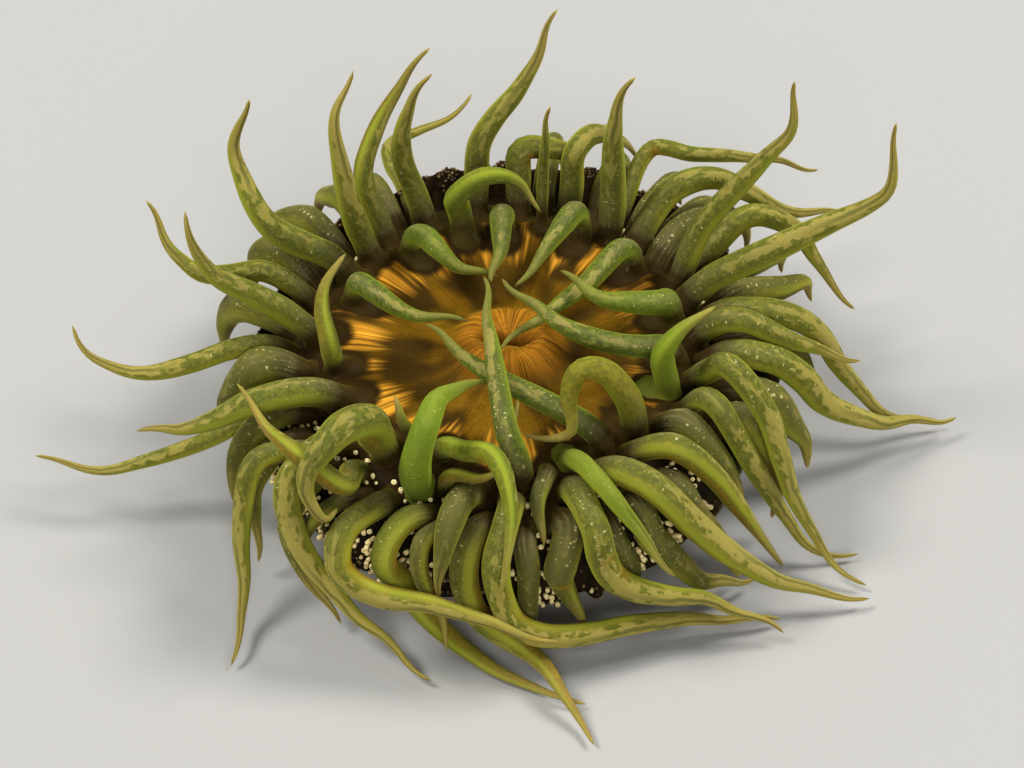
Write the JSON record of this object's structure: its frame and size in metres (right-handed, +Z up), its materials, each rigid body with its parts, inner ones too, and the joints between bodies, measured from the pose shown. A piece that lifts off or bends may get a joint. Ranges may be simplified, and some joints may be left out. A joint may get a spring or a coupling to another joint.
{
  "type": "sea anemone",
  "caption": "Life-size sand anemone with tapering tentacles spread round an oral disc, a frilled ruff and a squat column on a flat foot.",
  "frame": {"origin": "centre of the foot's flat underside, on the surface that the animal stands on", "axes": "+Z up out of the mouth, +X to the animal's right as seen from the front, -Y towards the front"},
  "size_m": [0.1244, 0.0996, 0.0506],
  "materials": {
    "tentacle": "wet soft flesh, olive green, yellow green by the light side, with pale ragged bands, cream flecks and ochre tips",
    "crown": "wet soft flesh, dark grey-green between the roots of the tentacles",
    "disc": "wet translucent flesh, golden brown with orange rays",
    "lip": "wet soft flesh, orange brown, ribbed",
    "ruff": "wet frilled flesh, near black with cream warts",
    "column": "moist pale brown flesh with small warts"
  },
  "bodies": {
    "root": {"pedal_disc": "column", "column": "column", "ruff": "ruff", "tentacle_bed": "crown", "oral_disc": "disc", "mouth": "lip", "tentacle_01": "tentacle", "tentacle_02": "tentacle", "tentacle_03": "tentacle", "tentacle_04": "tentacle", "tentacle_05": "tentacle", "tentacle_06": "tentacle", "tentacle_07": "tentacle", "tentacle_08": "tentacle", "tentacle_09": "tentacle", "tentacle_10": "tentacle", "tentacle_11": "tentacle", "tentacle_12": "tentacle", "tentacle_13": "tentacle", "tentacle_14": "tentacle", "tentacle_15": "tentacle", "tentacle_16": "tentacle", "tentacle_17": "tentacle", "tentacle_18": "tentacle", "tentacle_19": "tentacle", "tentacle_20": "tentacle", "tentacle_21": "tentacle", "tentacle_22": "tentacle", "tentacle_23": "tentacle", "tentacle_24": "tentacle", "tentacle_25": "tentacle", "tentacle_26": "tentacle", "tentacle_27": "tentacle", "tentacle_28": "tentacle", "tentacle_29": "tentacle", "tentacle_30": "tentacle", "tentacle_31": "tentacle", "tentacle_32": "tentacle", "tentacle_33": "tentacle", "tentacle_34": "tentacle", "tentacle_35": "tentacle", "tentacle_36": "tentacle", "tentacle_37": "tentacle", "tentacle_38": "tentacle", "tentacle_39": "tentacle", "tentacle_40": "tentacle", "tentacle_41": "tentacle", "tentacle_42": "tentacle", "tentacle_43": "tentacle", "tentacle_44": "tentacle", "tentacle_45": "tentacle", "tentacle_46": "tentacle", "tentacle_47": "tentacle", "tentacle_48": "tentacle", "tentacle_49": "tentacle", "tentacle_50": "tentacle", "tentacle_51": "tentacle", "tentacle_52": "tentacle", "tentacle_53": "tentacle"}
  },
  "joints": []
}
